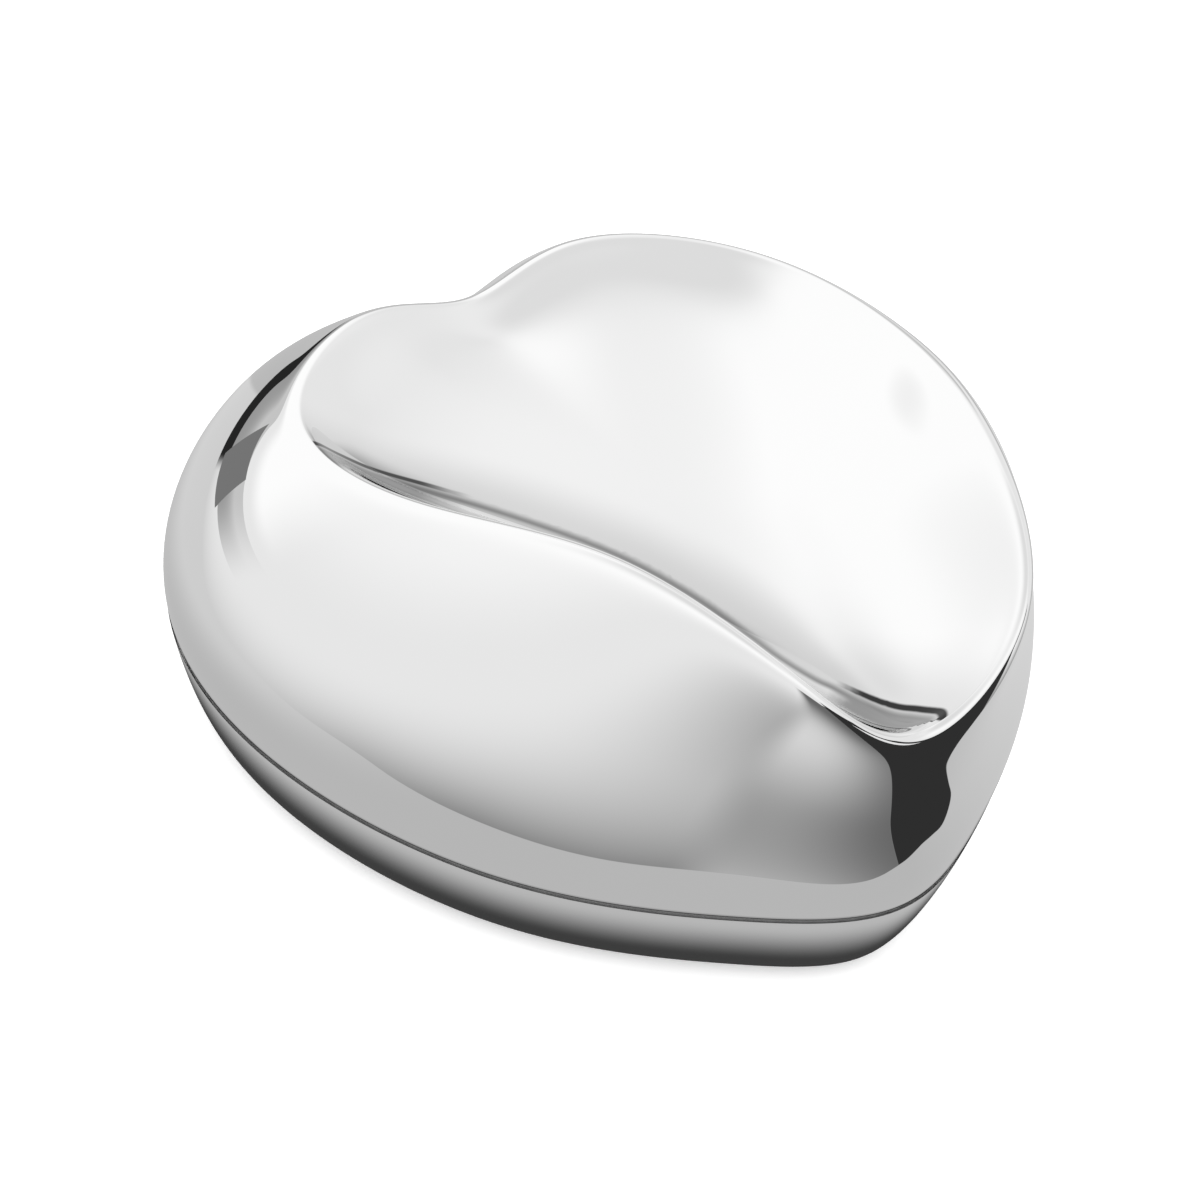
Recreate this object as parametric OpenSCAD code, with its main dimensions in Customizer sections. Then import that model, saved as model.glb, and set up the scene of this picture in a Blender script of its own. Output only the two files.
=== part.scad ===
// Heart-shaped wind-up music box: polished metal lid and base round a comb-and-cylinder movement.
// Millimetres. Origin: middle of the underside of the pads. +Y runs from the tip to the cleft, +Z up.

/* [Case] */
// Width of the case over its two lobes
heart_w = 92; // [90:1:98]
// Length of the case from its tip to its lobes
heart_l = 99; // [97:1:105]
// Height of the crest's highest point above the table
heart_h = 51; // [50:1:55]
// Height of the joint line between base and lid
seam_z = 11.8; // [11:0.2:12.6]
// Wall of the pressed metal shells
wall = 1.2; // [0.8:0.1:1.6]
// Dark line left between lid and base
seam_gap = 0.4; // [0.3:0.1:0.8]
// Height of the middle of the dished top
dish_z = 35; // [34:0.5:36]
// Distance of the middle of the dish behind the origin
dish_y = 2; // [-2:1:5]
// Height of the base shell's underside above the table
foot_h = 1; // [0.8:0.1:1.6]
// How far the base shell turns in at its underside
tuck_in = 5.5; // [4.5:0.5:6.5]
// Width of the flange that the base shell turns inwards
flange_w = 5.5; // [5:0.5:6.5]

/* [Base fittings] */
// Thickness of the bottom panel
panel_t = 1.2; // [1:0.1:1.6]
// Radius of the well that the key turns in
well_r = 15; // [14:0.5:16]
// Height of the well's roof above the table
well_z = 9; // [8.5:0.5:10]
// Diameter of each pad
pad_d = 4; // [3:0.5:5]
// Gap between the locating ring and the inside of the lid
ring_gap = 1; // [0.8:0.1:1.5]
// Height of the locating ring above the joint line
ring_rise = 3; // [2:0.5:4]

/* [Movement] */
// Across position of the movement's main axis
axis_x = -6; // [-7:0.5:-5]
// Fore and aft position of the spring barrel
barrel_y = 17; // [16:0.5:18]
// Thickness of the bedplate
bed_t = 1.8; // [1.5:0.1:2.2]
// Radius of the spring barrel
barrel_r = 12; // [11.8:0.1:12.4]
// Height of the spring barrel
barrel_h = 6.8; // [6:0.2:7.2]
// Teeth on the rim of the barrel
barrel_teeth = 48; // [48]
// Teeth on the cylinder's pinion
pinion_teeth = 16; // [16]
// Radius of the winding arbor
arbor_r = 1.6; // [1.4:0.1:1.8]
// Running clearance round every shaft
run = 0.05; // [0.03:0.01:0.08]
// Span of the key's two wings
key_span = 24; // [20:1:26]

/* [Cylinder and comb] */
// Radius of the pinned cylinder
cyl_r = 6.5; // [6:0.1:6.8]
// Length of the pinned cylinder
cyl_len = 20; // [18:0.5:20.5]
// Height that the pins stand out of the cylinder
pin_out = 0.5; // [0.4:0.1:0.6]
// Number of comb teeth
comb_teeth = 18; // [12:1:22]
// Thickness of the comb
comb_t = 0.9; // [0.7:0.1:1.2]
// Length of the longest comb tooth
tooth_long = 13; // [12:0.5:14]
// Length of the shortest comb tooth
tooth_short = 8; // [6:0.5:10]

/* [Governor] */
// Teeth on the gear at the end of the cylinder
drive_teeth = 40; // [40]
// Teeth on the governor's pinion
gov_pinion_teeth = 10; // [10]
// Teeth on the worm wheel
worm_wheel_teeth = 20; // [20]
// Radius of the fan
fan_r = 4.2; // [3.6:0.1:4.4]
// Height of the fan's blades
fan_h = 5; // [4:0.5:5.5]

/* [Hidden] */

$fn = 32;
eps = 0.01;
// How far a cutting solid reaches past the face that it cuts
cut = 1;

// ---- The heart's surface -------------------------------------------------------------------
// Each ring is a closed smooth curve through 12 points: the tip, five on the right side, the
// cleft, and the same five mirrored. The rings are rows of a cubic B-spline surface.
HALF_SEAM = [[0, -48], [16, -41], [34.5, -23.5], [45, 5], [39, 33.5], [18, 49], [0, 45.5]];
HALF_CREST = [[0, -47.5, 37], [14, -44, 46.5], [23.5, -23.5, 51.5], [31.5, 1, 45], [30, 24, 40], [14, 35, 40], [0, 34.5, 37.5]];
RING_N = 12;
COLS = 72;
// Lid rows: spread of the control rows between seam and crest, and across the dish
bulge_out = 1.8;
bulge_up = 5.3;
flank_in = 0.16;
flank_up = 0.59;
ridge_out = 2;
ridge_drop = 1.6;
ridge_in = 3.4;
dish_drop = 3.3;
dish_near = 0.4;
dish_far = 0.75;
// Base rows: how far each control row has turned in, and its height
tuck_near = 0.14;
tuck_low = 0.6;
tuck_drop = 0.26;
tuck_rise = 1;
LID_STEPS = 26;
BASE_STEPS = 7;

// Weights that turn points on a closed cubic B-spline into its control points
fit_z = sqrt(3) - 2;
function fit_w(k) = sqrt(3) * (pow(fit_z, k) + pow(fit_z, RING_N - k)) / (1 - pow(fit_z, RING_N));
function whole_ring(h) = concat(h, [for (j = [5:-1:1]) len(h[j]) == 2 ? [-h[j][0], h[j][1]] : [-h[j][0], h[j][1], h[j][2]]]);
function weighted(p, i, k = 0) = k == RING_N ? 0 * p[0] : fit_w(k) * p[(i + k) % RING_N] + weighted(p, i, k + 1);
function controls(h) = let (p = whole_ring(h)) [for (i = [0:RING_N - 1]) weighted(p, i)];

// The points above are drawn for a case of this width, length and height, and are stretched
// to the sizes asked for
DRAWN = [92, 99, 51];
function to_size(h) = [for (p = h) len(p) == 2 ?
    [p[0] * heart_w / DRAWN[0], p[1] * heart_l / DRAWN[1]] :
    [p[0] * heart_w / DRAWN[0], p[1] * heart_l / DRAWN[1], p[2] * heart_h / DRAWN[2]]];
SEAM_RING = controls(to_size(HALF_SEAM));
CREST_RING = controls(to_size(HALF_CREST));
DISH = [0, dish_y];

function unit2(v) = v / norm(v);
function flat(p) = [p[0], p[1]];
function at_z(p, z) = [p[0], p[1], z];
// Outward directions in plan: square to the seam ring, and from the dish to the crest
OUT = [for (j = [0:RING_N - 1]) let (v = SEAM_RING[(j + 1) % RING_N] - SEAM_RING[(j + RING_N - 1) % RING_N])
    unit2([v[1], -v[0]])];
IN = [for (j = [0:RING_N - 1]) unit2(flat(CREST_RING[j]) - DISH)];
function lid_net(z0) = [
    [for (j = [0:RING_N - 1]) at_z(SEAM_RING[j], z0)],
    [for (j = [0:RING_N - 1]) at_z(flat(SEAM_RING[j]) + bulge_out * OUT[j], z0 + bulge_up)],
    [for (j = [0:RING_N - 1]) at_z(flat(SEAM_RING[j]) * (1 - flank_in) + flat(CREST_RING[j]) * flank_in,
        z0 + flank_up * (CREST_RING[j][2] - z0))],
    [for (j = [0:RING_N - 1]) at_z(flat(CREST_RING[j]) + ridge_out * OUT[j], CREST_RING[j][2] - ridge_drop)],
    CREST_RING,
    [for (j = [0:RING_N - 1]) at_z(flat(CREST_RING[j]) - ridge_in * IN[j], CREST_RING[j][2] - dish_drop)],
    [for (j = [0:RING_N - 1]) at_z(flat(CREST_RING[j]) * (1 - dish_near) + DISH * dish_near, dish_z)],
    [for (j = [0:RING_N - 1]) at_z(flat(CREST_RING[j]) * (1 - dish_far) + DISH * dish_far, dish_z)],
    [for (j = [0:RING_N - 1]) at_z(DISH, dish_z)]];
function base_net(z0, z1) = [
    [for (j = [0:RING_N - 1]) at_z(SEAM_RING[j], z0)],
    [for (j = [0:RING_N - 1]) at_z(flat(SEAM_RING[j]) - tuck_near * tuck_in * OUT[j], z0 - tuck_drop * (z0 - z1))],
    [for (j = [0:RING_N - 1]) at_z(flat(SEAM_RING[j]) - tuck_low * tuck_in * OUT[j], z1 + tuck_rise)],
    [for (j = [0:RING_N - 1]) at_z(flat(SEAM_RING[j]) - tuck_in * OUT[j], z1)]];

// Closed uniform cubic blend of control points round a ring, at parameter t in ring steps
function cubic(f) = [pow(1 - f, 3) / 6, (3 * pow(f, 3) - 6 * f * f + 4) / 6,
    (-3 * pow(f, 3) + 3 * f * f + 3 * f + 1) / 6, pow(f, 3) / 6];
function on_ring(p, t) = let (i = floor(t), w = cubic(t - i))
    w[0] * p[(i + RING_N - 1) % RING_N] + w[1] * p[i % RING_N] + w[2] * p[(i + 1) % RING_N] + w[3] * p[(i + 2) % RING_N];
// Clamped uniform cubic B-spline over n control rows, by repeated interpolation
function knot(i, n) = min(max(i - 3, 0), n - 3);
function blend(p, n, k, s, d, i) = d == 0 ? p[i] :
    let (a = (s - knot(i, n)) / (knot(i + 4 - d, n) - knot(i, n)))
    (1 - a) * blend(p, n, k, s, d - 1, i - 1) + a * blend(p, n, k, s, d - 1, i);
function along(p, s) = let (n = len(p), k = min(floor(s), n - 4) + 3) blend(p, n, k, s, 3, k);
function skin_point(net, s, t) = along([for (row = net) on_ring(row, t)], s);
function skin(net, steps, cols = COLS) = let (top = len(net) - 3)
    [for (r = [0:steps]) [for (c = [0:cols - 1]) skin_point(net, top * r / steps, c * RING_N / cols)]];

// Outward normals on a grid of points, from the differences of its neighbours
function grid_normal(g, r, c) = let (n = len(g[0]), last = len(g) - 1,
    across = g[r][(c + 1) % n] - g[r][(c + n - 1) % n],
    up = g[min(r + 1, last)][c] - g[max(r - 1, 0)][c], v = cross(across, up))
    norm(v) < 0.0001 ? [0, 0, 1] : v / norm(v);
// Grid moved inwards by t; its first row stays level with the rim. side is 1 for rows that climb
function inner_skin(g, t, side = 1) = [for (r = [0:len(g) - 1]) [for (c = [0:len(g[0]) - 1])
    let (v = side * grid_normal(g, r, c), q = r == 0 ? [v[0], v[1], 0] / norm([v[0], v[1]]) : v) g[r][c] - t * q]];

// One closed solid from rows of points: each row is a ring and the rows run all the way round
// the wall's section, so the last row joins the first
module ring_solid(rows) {
    n = len(rows[0]);
    m = len(rows);
    polyhedron(points = [for (row = rows) each row],
        faces = [for (r = [0:m - 1]) for (c = [0:n - 1]) for (h = [0, 1])
            let (a = r * n + c, b = r * n + (c + 1) % n, d = ((r + 1) % m) * n + c, e = ((r + 1) % m) * n + (c + 1) % n)
            h == 0 ? [a, b, d] : [b, e, d]], convexity = 8);
}
// One closed solid of an outer and an inner skin that both end in a point
module cap_solid(outer, inner) {
    n = len(outer[0]);
    mo = len(outer) - 1;
    mi = len(inner) - 1;
    pole_o = mo * n;
    start_i = mo * n + 1;
    pole_i = start_i + mi * n;
    points = concat([for (r = [0:mo - 1]) each outer[r]], [outer[mo][0]], [for (r = [0:mi - 1]) each inner[r]], [inner[mi][0]]);
    faces = concat(
        [for (r = [0:mo - 2]) for (c = [0:n - 1]) for (h = [0, 1])
            let (a = r * n + c, b = r * n + (c + 1) % n) h == 0 ? [a, a + n, b] : [b, a + n, b + n]],
        [for (c = [0:n - 1]) [(mo - 1) * n + c, pole_o, (mo - 1) * n + (c + 1) % n]],
        [for (r = [0:mi - 2]) for (c = [0:n - 1]) for (h = [0, 1])
            let (a = start_i + r * n + c, b = start_i + r * n + (c + 1) % n) h == 0 ? [a, b, a + n] : [b, b + n, a + n]],
        [for (c = [0:n - 1]) [start_i + (mi - 1) * n + c, start_i + (mi - 1) * n + (c + 1) % n, pole_i]],
        [for (c = [0:n - 1]) for (h = [0, 1])
            let (a = c, b = (c + 1) % n) h == 0 ? [a, b, start_i + a] : [b, start_i + b, start_i + a]]);
    polyhedron(points = points, faces = faces, convexity = 8);
}
function every_second(g) = [for (r = [0:2:len(g) - 1]) g[r]];

// Flat outline of the seam, moved inwards by d
function seam_outline(d) = let (ring = [for (j = [0:RING_N - 1]) flat(SEAM_RING[j]) - d * OUT[j]])
    [for (c = [0:COLS - 1]) on_ring(ring, c * RING_N / COLS)];
module seam_plate(d, z0, z1) {
    translate([0, 0, z0]) linear_extrude(z1 - z0) polygon(seam_outline(d));
}
module tube(r1, r0, h) {
    difference() {
        cylinder(r = r1, h = h);
        translate([0, 0, -eps]) cylinder(r = r0, h = h + 2 * eps);
    }
}

// ---- Case ------------------------------------------------------------------------------------
lid_z0 = seam_z + seam_gap / 2;
base_z0 = seam_z - seam_gap / 2;
panel_z0 = foot_h + wall;
panel_z1 = panel_z0 + panel_t;
// The panel laps this far over the base's flange
panel_lap = 1.8;
panel_inset = tuck_in + flange_w - panel_lap;

module lid_shell() {
    outer = skin(lid_net(lid_z0), LID_STEPS);
    color("silver") cap_solid(outer, every_second(inner_skin(outer, wall)));
}
// Stud under the dish that meets the stop lever when the lid goes on
module lid_boss() {
    color("silver") translate([boss_x, wheel_y, boss_z0]) cylinder(r = boss_r, h = boss_top - boss_z0);
}
module base_shell() {
    outer = skin(base_net(base_z0, foot_h), BASE_STEPS);
    inner = inner_skin(outer, wall, -1);
    last = BASE_STEPS - 1;
    rows = [for (r = [last:-1:0]) [for (p = inner[r]) at_z(p, r == 0 ? base_z0 : r == last ? panel_z0 : max(p[2], panel_z0))]];
    lip = [for (z = [foot_h, panel_z0]) [for (q = seam_outline(tuck_in + flange_w)) [q[0], q[1], z]]];
    color("silver") ring_solid(concat(outer, lip, rows));
}
// Panel that closes the base, with the well for the key pressed up in its middle
module bottom_panel() {
    color("gainsboro") difference() {
        union() {
            seam_plate(panel_inset, panel_z0, panel_z1);
            translate([axis_x, barrel_y, panel_z0]) cylinder(r = well_r + panel_t, h = well_z + panel_t - panel_z0, $fn = 72);
        }
        translate([axis_x, barrel_y, foot_h]) cylinder(r = well_r, h = well_z - foot_h, $fn = 72);
        bore(arbor_r + 4 * run, [axis_x, barrel_y], well_z, well_z + panel_t);
        for (p = post_places) bore(screw_r, p, panel_z0, panel_z1);
    }
}
// Z-section ring: it stands on the panel, its flange lies between the two shells and shows as the
// dark joint line, and its upright keeps the lid in place
ring_t = 1;
seam_recess = 0.4;
module locating_ring() {
    inset = wall + ring_gap;
    color("silver") difference() {
        union() {
            seam_plate(panel_inset, panel_z1, base_z0 + eps);
            seam_plate(seam_recess, base_z0, lid_z0);
            seam_plate(inset, lid_z0 - eps, seam_z + ring_rise);
        }
        seam_plate(panel_inset + ring_t, panel_z1 - eps, base_z0 + 2 * eps);
        seam_plate(inset + ring_t, base_z0, seam_z + ring_rise + eps);
    }
}
module pads() {
    color("dimgray") for (c = pad_columns) {
        q = seam_outline(tuck_in + flange_w - pad_d / 2 - pad_edge)[c];
        translate([q[0], q[1], 0]) cylinder(r = pad_d / 2, h = foot_h);
    }
}
pad_columns = [8, 31, 41, 64];
// How far each pad stays clear of the flange's inner edge
pad_edge = 0.1;

// ---- Movement: heights, from the well's roof upwards -------------------------------------------
bed_z0 = well_z + panel_t;
bed_z1 = bed_z0 + bed_t;
ratchet_z0 = bed_z1 + 0.3;
ratchet_t = 1;
ratchet_teeth = 24;
ratchet_r = 6;
barrel_z0 = ratchet_z0 + ratchet_t + 0.8;
barrel_z1 = barrel_z0 + barrel_h;
barrel_wall = 1.8;
barrel_floor = 0.8;
hub_r = 2.5;
pitch_r = barrel_r - barrel_wall / 2;
tooth_m = 2 * pitch_r / barrel_teeth;
pinion_r = tooth_m * pinion_teeth / 2;
axis_z = barrel_z1 + pinion_r;
// Places along the cylinder's axis, from the barrel's rim towards the tip
pinion_y = barrel_y - pitch_r;
pinion_len = 2.6;
post_y = barrel_y - barrel_r - 1.6;
post_t = 1;
cyl_y1 = post_y - 0.4;
cyl_y0 = cyl_y1 - cyl_len;
cap_t = 0.8;
drive_t = 1.2;
drive_y1 = cyl_y0 - 0.3;
drive_y0 = drive_y1 - drive_t;
frame_y1 = drive_y0 - 1.4;
frame_t = 0.9;
wheel_gap = 4.5;
wheel_y = frame_y1 - frame_t - wheel_gap;
wheel_t = 1.2;
frame_y2 = wheel_y - 4.6;
drive_m = 0.3;
drive_r = drive_m * drive_teeth / 2;
gov_pinion_r = drive_m * gov_pinion_teeth / 2;
gov_z = axis_z - drive_r - gov_pinion_r;
worm_m = 0.4;
worm_wheel_r = worm_m * worm_wheel_teeth / 2;
worm_pitch_r = 1.15;
worm_x = axis_x + worm_wheel_r + worm_pitch_r;
worm_lead = PI * worm_m;
worm_turns = 4;
shaft_r = 0.7;
pivot_r = 0.4;
screw_r = 1;
screw_gap = 0.1;

// Bedplate outline and the places of its posts and screws
bed_left = 14;
bed_right = 24;
bed_rim = 1;
bed_x0 = axis_x - bed_left;
bed_x1 = axis_x + bed_right;
bed_y1 = barrel_y + barrel_r + bed_rim;
bed_y0 = frame_y2 - frame_t - 0.7;
post_in = 4;
post_front = 29;
post_places = [[bed_x1 - post_in, bed_y1 - 1.5 * post_in], [bed_x1 - post_in, barrel_y - post_front], [bed_x0 + post_in, barrel_y - post_front]];
BED = [[bed_x0 + 6, bed_y1], [bed_x1 - 6, bed_y1], [bed_x1, bed_y1 - 6], [bed_x1, cyl_y0 + 1], [bed_x1 - 6, cyl_y0 - 6],
    [axis_x + 15, bed_y0], [axis_x - 5, bed_y0], [bed_x0, cyl_y0 - 3], [bed_x0, bed_y1 - 8]];

// Spur gear by its module and tooth count: trapezoid teeth on a root disc, with backlash
module spur(m, n, h, bore, phase = 0, slack = 0.16) {
    r = m * n / 2;
    linear_extrude(h) difference() {
        union() {
            circle(r = r - 1.15 * m, $fn = max(24, n * 2));
            for (i = [0:n - 1]) rotate(360 / n * i + phase) polygon([
                [r - 1.3 * m, -0.95 * m + slack / 2], [r, -0.785 * m + slack / 2 + 0.1 * m], [r + 0.85 * m, -0.32 * m],
                [r + 0.85 * m, 0.32 * m], [r, 0.785 * m - slack / 2 - 0.1 * m], [r - 1.3 * m, 0.95 * m - slack / 2]]);
        }
        circle(r = bore, $fn = 32);
    }
}
// Turns a part that is built up along +Z so that it lies along -Y from y1, at the cylinder's height
module on_axis(y1, x = axis_x, z = axis_z) {
    translate([x, y1, z]) rotate([90, 0, 0]) children();
}
// Upright hole that is cut right through from z0 to z1
module bore(r, p, z0, z1) {
    translate([p[0], p[1], z0 - cut]) cylinder(r = r, h = z1 - z0 + 2 * cut);
}

module standoffs() {
    color("gold") for (p = post_places) translate([p[0], p[1], panel_z1]) tube(2.2, screw_r + screw_gap, bed_z0 - panel_z1);
}
module bedplate() {
    color("gold") difference() {
        translate([0, 0, bed_z0]) linear_extrude(bed_t) polygon(BED);
        bore(arbor_r + run, [axis_x, barrel_y], bed_z0, bed_z1);
        for (p = post_places) bore(screw_r + screw_gap, p, bed_z0, bed_z1);
        bore(click_pin_r + run, [click_x, click_y], bed_z0, bed_z1);
    }
}
// Screws up through the panel and the posts into the bedplate, with heads under the panel
module bedplate_screws() {
    color("silver") for (p = post_places) translate([p[0], p[1], 0]) difference() {
        union() {
            translate([0, 0, panel_z0 - 1]) cylinder(r = 1.9, h = 1);
            translate([0, 0, panel_z0]) cylinder(r = screw_r - 0.02, h = bed_z1 - panel_z0);
        }
        translate([-2, -0.25, panel_z0 - 1 - eps]) cube([4, 0.5, 0.5]);
    }
}

// ---- Winding ---------------------------------------------------------------------------------
key_z0 = foot_h + 0.6;
key_z1 = well_z - 0.8;
key_t = 1.8;
key_h = 4.6;
key_turn = 35;
module winding_key() {
    color("silver") translate([axis_x, barrel_y, 0]) difference() {
        union() {
            translate([0, 0, key_z0 + 1.5]) cylinder(r = 3.2, h = key_z1 - key_z0 - 1.5);
            translate([0, 0, key_z0 + key_h / 2]) rotate(key_turn) for (s = [-1, 1]) translate([s * key_span / 4, key_t / 2, 0])
                rotate([90, 0, 0]) linear_extrude(key_t) key_wing();
        }
        translate([0, 0, key_z0 + 2.5]) cylinder(r = arbor_r + 0.02, h = 10);
    }
}
// Flat wing with round ends, as long as half of the key
module key_wing() {
    square([key_span / 2 - key_h, key_h], center = true);
    for (s = [-1, 1]) translate([s * (key_span / 4 - key_h / 2), 0]) circle(r = key_h / 2, $fn = 40);
}
arbor_z0 = key_z0 + 2.6;
module winding_arbor() {
    color("silver") {
        translate([axis_x, barrel_y, arbor_z0]) cylinder(r = arbor_r, h = barrel_z1 - 0.6 - arbor_z0);
        translate([axis_x, barrel_y, barrel_z0 + 1]) cylinder(r = hub_r, h = barrel_h - 2.6);
    }
}
module ratchet_wheel() {
    step = 360 / ratchet_teeth;
    color("gold") translate([axis_x, barrel_y, ratchet_z0]) linear_extrude(ratchet_t) difference() {
        union() {
            circle(r = ratchet_r - 0.7, $fn = 48);
            for (i = [0:ratchet_teeth - 1]) rotate(i * step + ratchet_phase)
                polygon([[ratchet_r - 1, 0], [ratchet_r, 0], [ratchet_r - 0.7, step * 0.017 * ratchet_r], [ratchet_r - 1, 1]]);
        }
        circle(r = arbor_r + 0.01, $fn = 32);
    }
}
ratchet_phase = 0;
click_x = axis_x + 10;
click_y = barrel_y - 5.5;
click_pin_r = 0.8;
click_tip = [axis_x + ratchet_r - 0.25, barrel_y - 0.2];
module click() {
    color("gold") translate([0, 0, ratchet_z0]) linear_extrude(ratchet_t) difference() {
        union() {
            translate([click_x, click_y]) circle(r = 1.8, $fn = 40);
            polygon([[click_x - 1.7, click_y + 0.4], click_tip, [click_tip[0] + 1.5, click_tip[1] - 0.1], [click_x + 1.2, click_y + 1.2]]);
        }
        translate([click_x, click_y]) circle(r = click_pin_r + run, $fn = 32);
    }
}
module click_screw() {
    color("silver") translate([click_x, click_y, 0]) {
        translate([0, 0, bed_z0]) cylinder(r = click_pin_r, h = ratchet_z0 + ratchet_t + 0.1 - bed_z0);
        translate([0, 0, ratchet_z0 + ratchet_t + 0.1]) cylinder(r = 1.5, h = 0.5);
    }
}
// Thin blade spring that holds the click in the ratchet
module click_spring() {
    color("silver") translate([0, 0, bed_z1]) linear_extrude(ratchet_t + 0.3) {
        translate([click_x + 2.2, click_y - 2]) square([0.3, 6]);
        translate([click_x + 2.2, click_y - 4]) square([1.6, 2.2]);
    }
}
module spring_barrel() {
    step = 360 / barrel_teeth;
    color("gold") translate([axis_x, barrel_y, barrel_z0]) {
        difference() {
            cylinder(r = barrel_r, h = barrel_h - 0.5, $fn = 96);
            translate([0, 0, barrel_floor]) cylinder(r = barrel_r - barrel_wall, h = barrel_h, $fn = 96);
            translate([0, 0, -1]) cylinder(r = arbor_r + run, h = 3);
        }
        for (i = [0:barrel_teeth - 1]) rotate((i + 0.5) * step - 90) translate([barrel_r, 0, barrel_h - 0.6]) rotate([90, 0, -90])
            linear_extrude(barrel_wall) polygon([[-0.33, 0], [0.33, 0], [0.14, 0.95], [-0.14, 0.95]]);
    }
}
cover_t = 0.6;
module barrel_cover() {
    color("gold") translate([axis_x, barrel_y, barrel_z1 - 1.4]) tube(barrel_r - barrel_wall, arbor_r + run, cover_t);
}
// Coiled strip between the arbor and the inside of the barrel
spring_turns = 7;
spring_t = 0.28;
function spiral(r0, r1, n) = [for (i = [0:n]) (r0 + (r1 - r0) * i / n) * [cos(360 * spring_turns * i / n), sin(360 * spring_turns * i / n)]];
module mainspring() {
    r_in = hub_r + 0.2;
    r_out = barrel_r - barrel_wall - 0.15 - spring_t;
    steps = spring_turns * 20;
    back = spiral(r_in + spring_t, r_out + spring_t, steps);
    color("slategray") translate([axis_x, barrel_y, barrel_z0 + barrel_floor]) linear_extrude(barrel_h - barrel_floor - 1.8)
        polygon(concat(spiral(r_in, r_out, steps), [for (i = [steps:-1:0]) back[i]]));
}

// ---- Cylinder --------------------------------------------------------------------------------
module cylinder_tube() {
    color("gold") on_axis(cyl_y1 - cap_t) tube(cyl_r, cyl_r - 0.7, cyl_len - 2 * cap_t);
}
pin_r = 0.18;
pins_per_note = 4;
comb_pitch = (cyl_len - 2.4) / comb_teeth;
function note_y(i) = cyl_y1 - 1.2 - comb_pitch * (i + 0.5);
// Pins: four a note, spread round the cylinder and kept off the quarter turns
module cylinder_pins() {
    color("gold") for (i = [0:comb_teeth - 1]) for (k = [0:pins_per_note - 1])
        translate([axis_x, note_y(i), axis_z]) rotate([0, 90 * k + 14 + (i * 29 + k * 17) % 62, 0])
            translate([0, 0, cyl_r - 0.3]) cylinder(r = pin_r, h = pin_out + 0.3, $fn = 16);
}
module cylinder_caps() {
    color("gold") for (y = [cyl_y1, cyl_y0 + cap_t]) on_axis(y) tube(cyl_r, shaft_r + 0.01, cap_t);
}
module cylinder_arbor() {
    color("silver") on_axis(pinion_y + pinion_len / 2 + 0.3)
        cylinder(r = shaft_r, h = pinion_y + pinion_len / 2 + 0.3 - (frame_y1 - frame_t));
}
module cylinder_pinion() {
    color("gold") on_axis(pinion_y + pinion_len / 2) spur(tooth_m, pinion_teeth, pinion_len, shaft_r + 0.01, phase = -90 , slack = 0.2);
}
module drive_gear() {
    color("gold") on_axis(drive_y1) spur(drive_m, drive_teeth, drive_t, shaft_r + 0.01, phase = -90 + 180 / drive_teeth);
}
module bearing_post() {
    w = 5;
    color("gold") difference() {
        union() {
            translate([axis_x - w / 2, post_y - post_t / 2 + 0.5, bed_z1]) cube([w, post_t, axis_z - bed_z1]);
            on_axis(post_y + post_t / 2 + 0.5) cylinder(r = w / 2, h = post_t);
        }
        on_axis(post_y + 5) cylinder(r = shaft_r + run, h = 10);
    }
}

// ---- Governor ----------------------------------------------------------------------------------
gov_top = axis_z + 4.6;
module governor_frame() {
    depth = frame_y1 - frame_y2;
    x0 = axis_x - 4;
    x1 = worm_x + 4.4;
    color("gold") difference() {
        union() {
            translate([x0, frame_y1 - frame_t, bed_z1]) cube([8, frame_t, axis_z + 2 - bed_z1]);
            translate([x0, frame_y2 - frame_t, bed_z1]) cube([x1 - x0 + 1, frame_t, gov_top + 1 - bed_z1]);
            translate([worm_x - 1.5, frame_y2 - frame_t, gov_top]) cube([3, wheel_y - frame_y2 + frame_t + 2, 1]);
            translate([worm_x - 1.5, frame_y2 - frame_t, bed_z1]) cube([3, wheel_y - frame_y2 + frame_t + 2, 0.8]);
        }
        on_axis(frame_y1 + 1) cylinder(r = shaft_r + run, h = 3);
        on_axis(frame_y1 + 1, z = gov_z) cylinder(r = pivot_r + run, h = 30);
        bore(pivot_r + run, [worm_x, wheel_y], bed_z1, gov_top + 1);
    }
}
module governor_wheel() {
    color("gold") {
        on_axis(drive_y1 + 0.1, z = gov_z) spur(drive_m, gov_pinion_teeth, drive_t + 0.2, 0.1, phase = 90);
        on_axis(drive_y0 - 0.1, z = gov_z) cylinder(r = pivot_r, h = drive_y0 - 0.1 - (frame_y2 - frame_t));
    }
}
module worm_wheel() {
    color("gold") on_axis(wheel_y + wheel_t / 2, z = gov_z) spur(worm_m, worm_wheel_teeth, wheel_t, pivot_r + 0.01, slack = 0.2);
}
worm_len = worm_turns * worm_lead;
module worm() {
    z0 = gov_z - worm_len / 2;
    color("silver") {
        translate([worm_x, wheel_y, bed_z1]) cylinder(r = pivot_r, h = gov_top + 1 - bed_z1);
        translate([worm_x, wheel_y, z0]) rotate(worm_phase) linear_extrude(worm_len, twist = -360 * worm_turns, slices = 16 * worm_turns)
            translate([0.3, 0]) circle(r = 1, $fn = 16);
    }
}
worm_phase = 0;
module fan() {
    z0 = gov_top - 0.6 - fan_h;
    color("silver") translate([worm_x, wheel_y, z0]) difference() {
        union() {
            cylinder(r = 1.1, h = fan_h);
            for (s = [0, 180]) rotate(s + 35) translate([0.6, -0.15, 0]) cube([fan_r - 0.6, 0.3, fan_h]);
        }
        translate([0, 0, -1]) cylinder(r = pivot_r + 0.01, h = fan_h + 2);
    }
}

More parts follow.
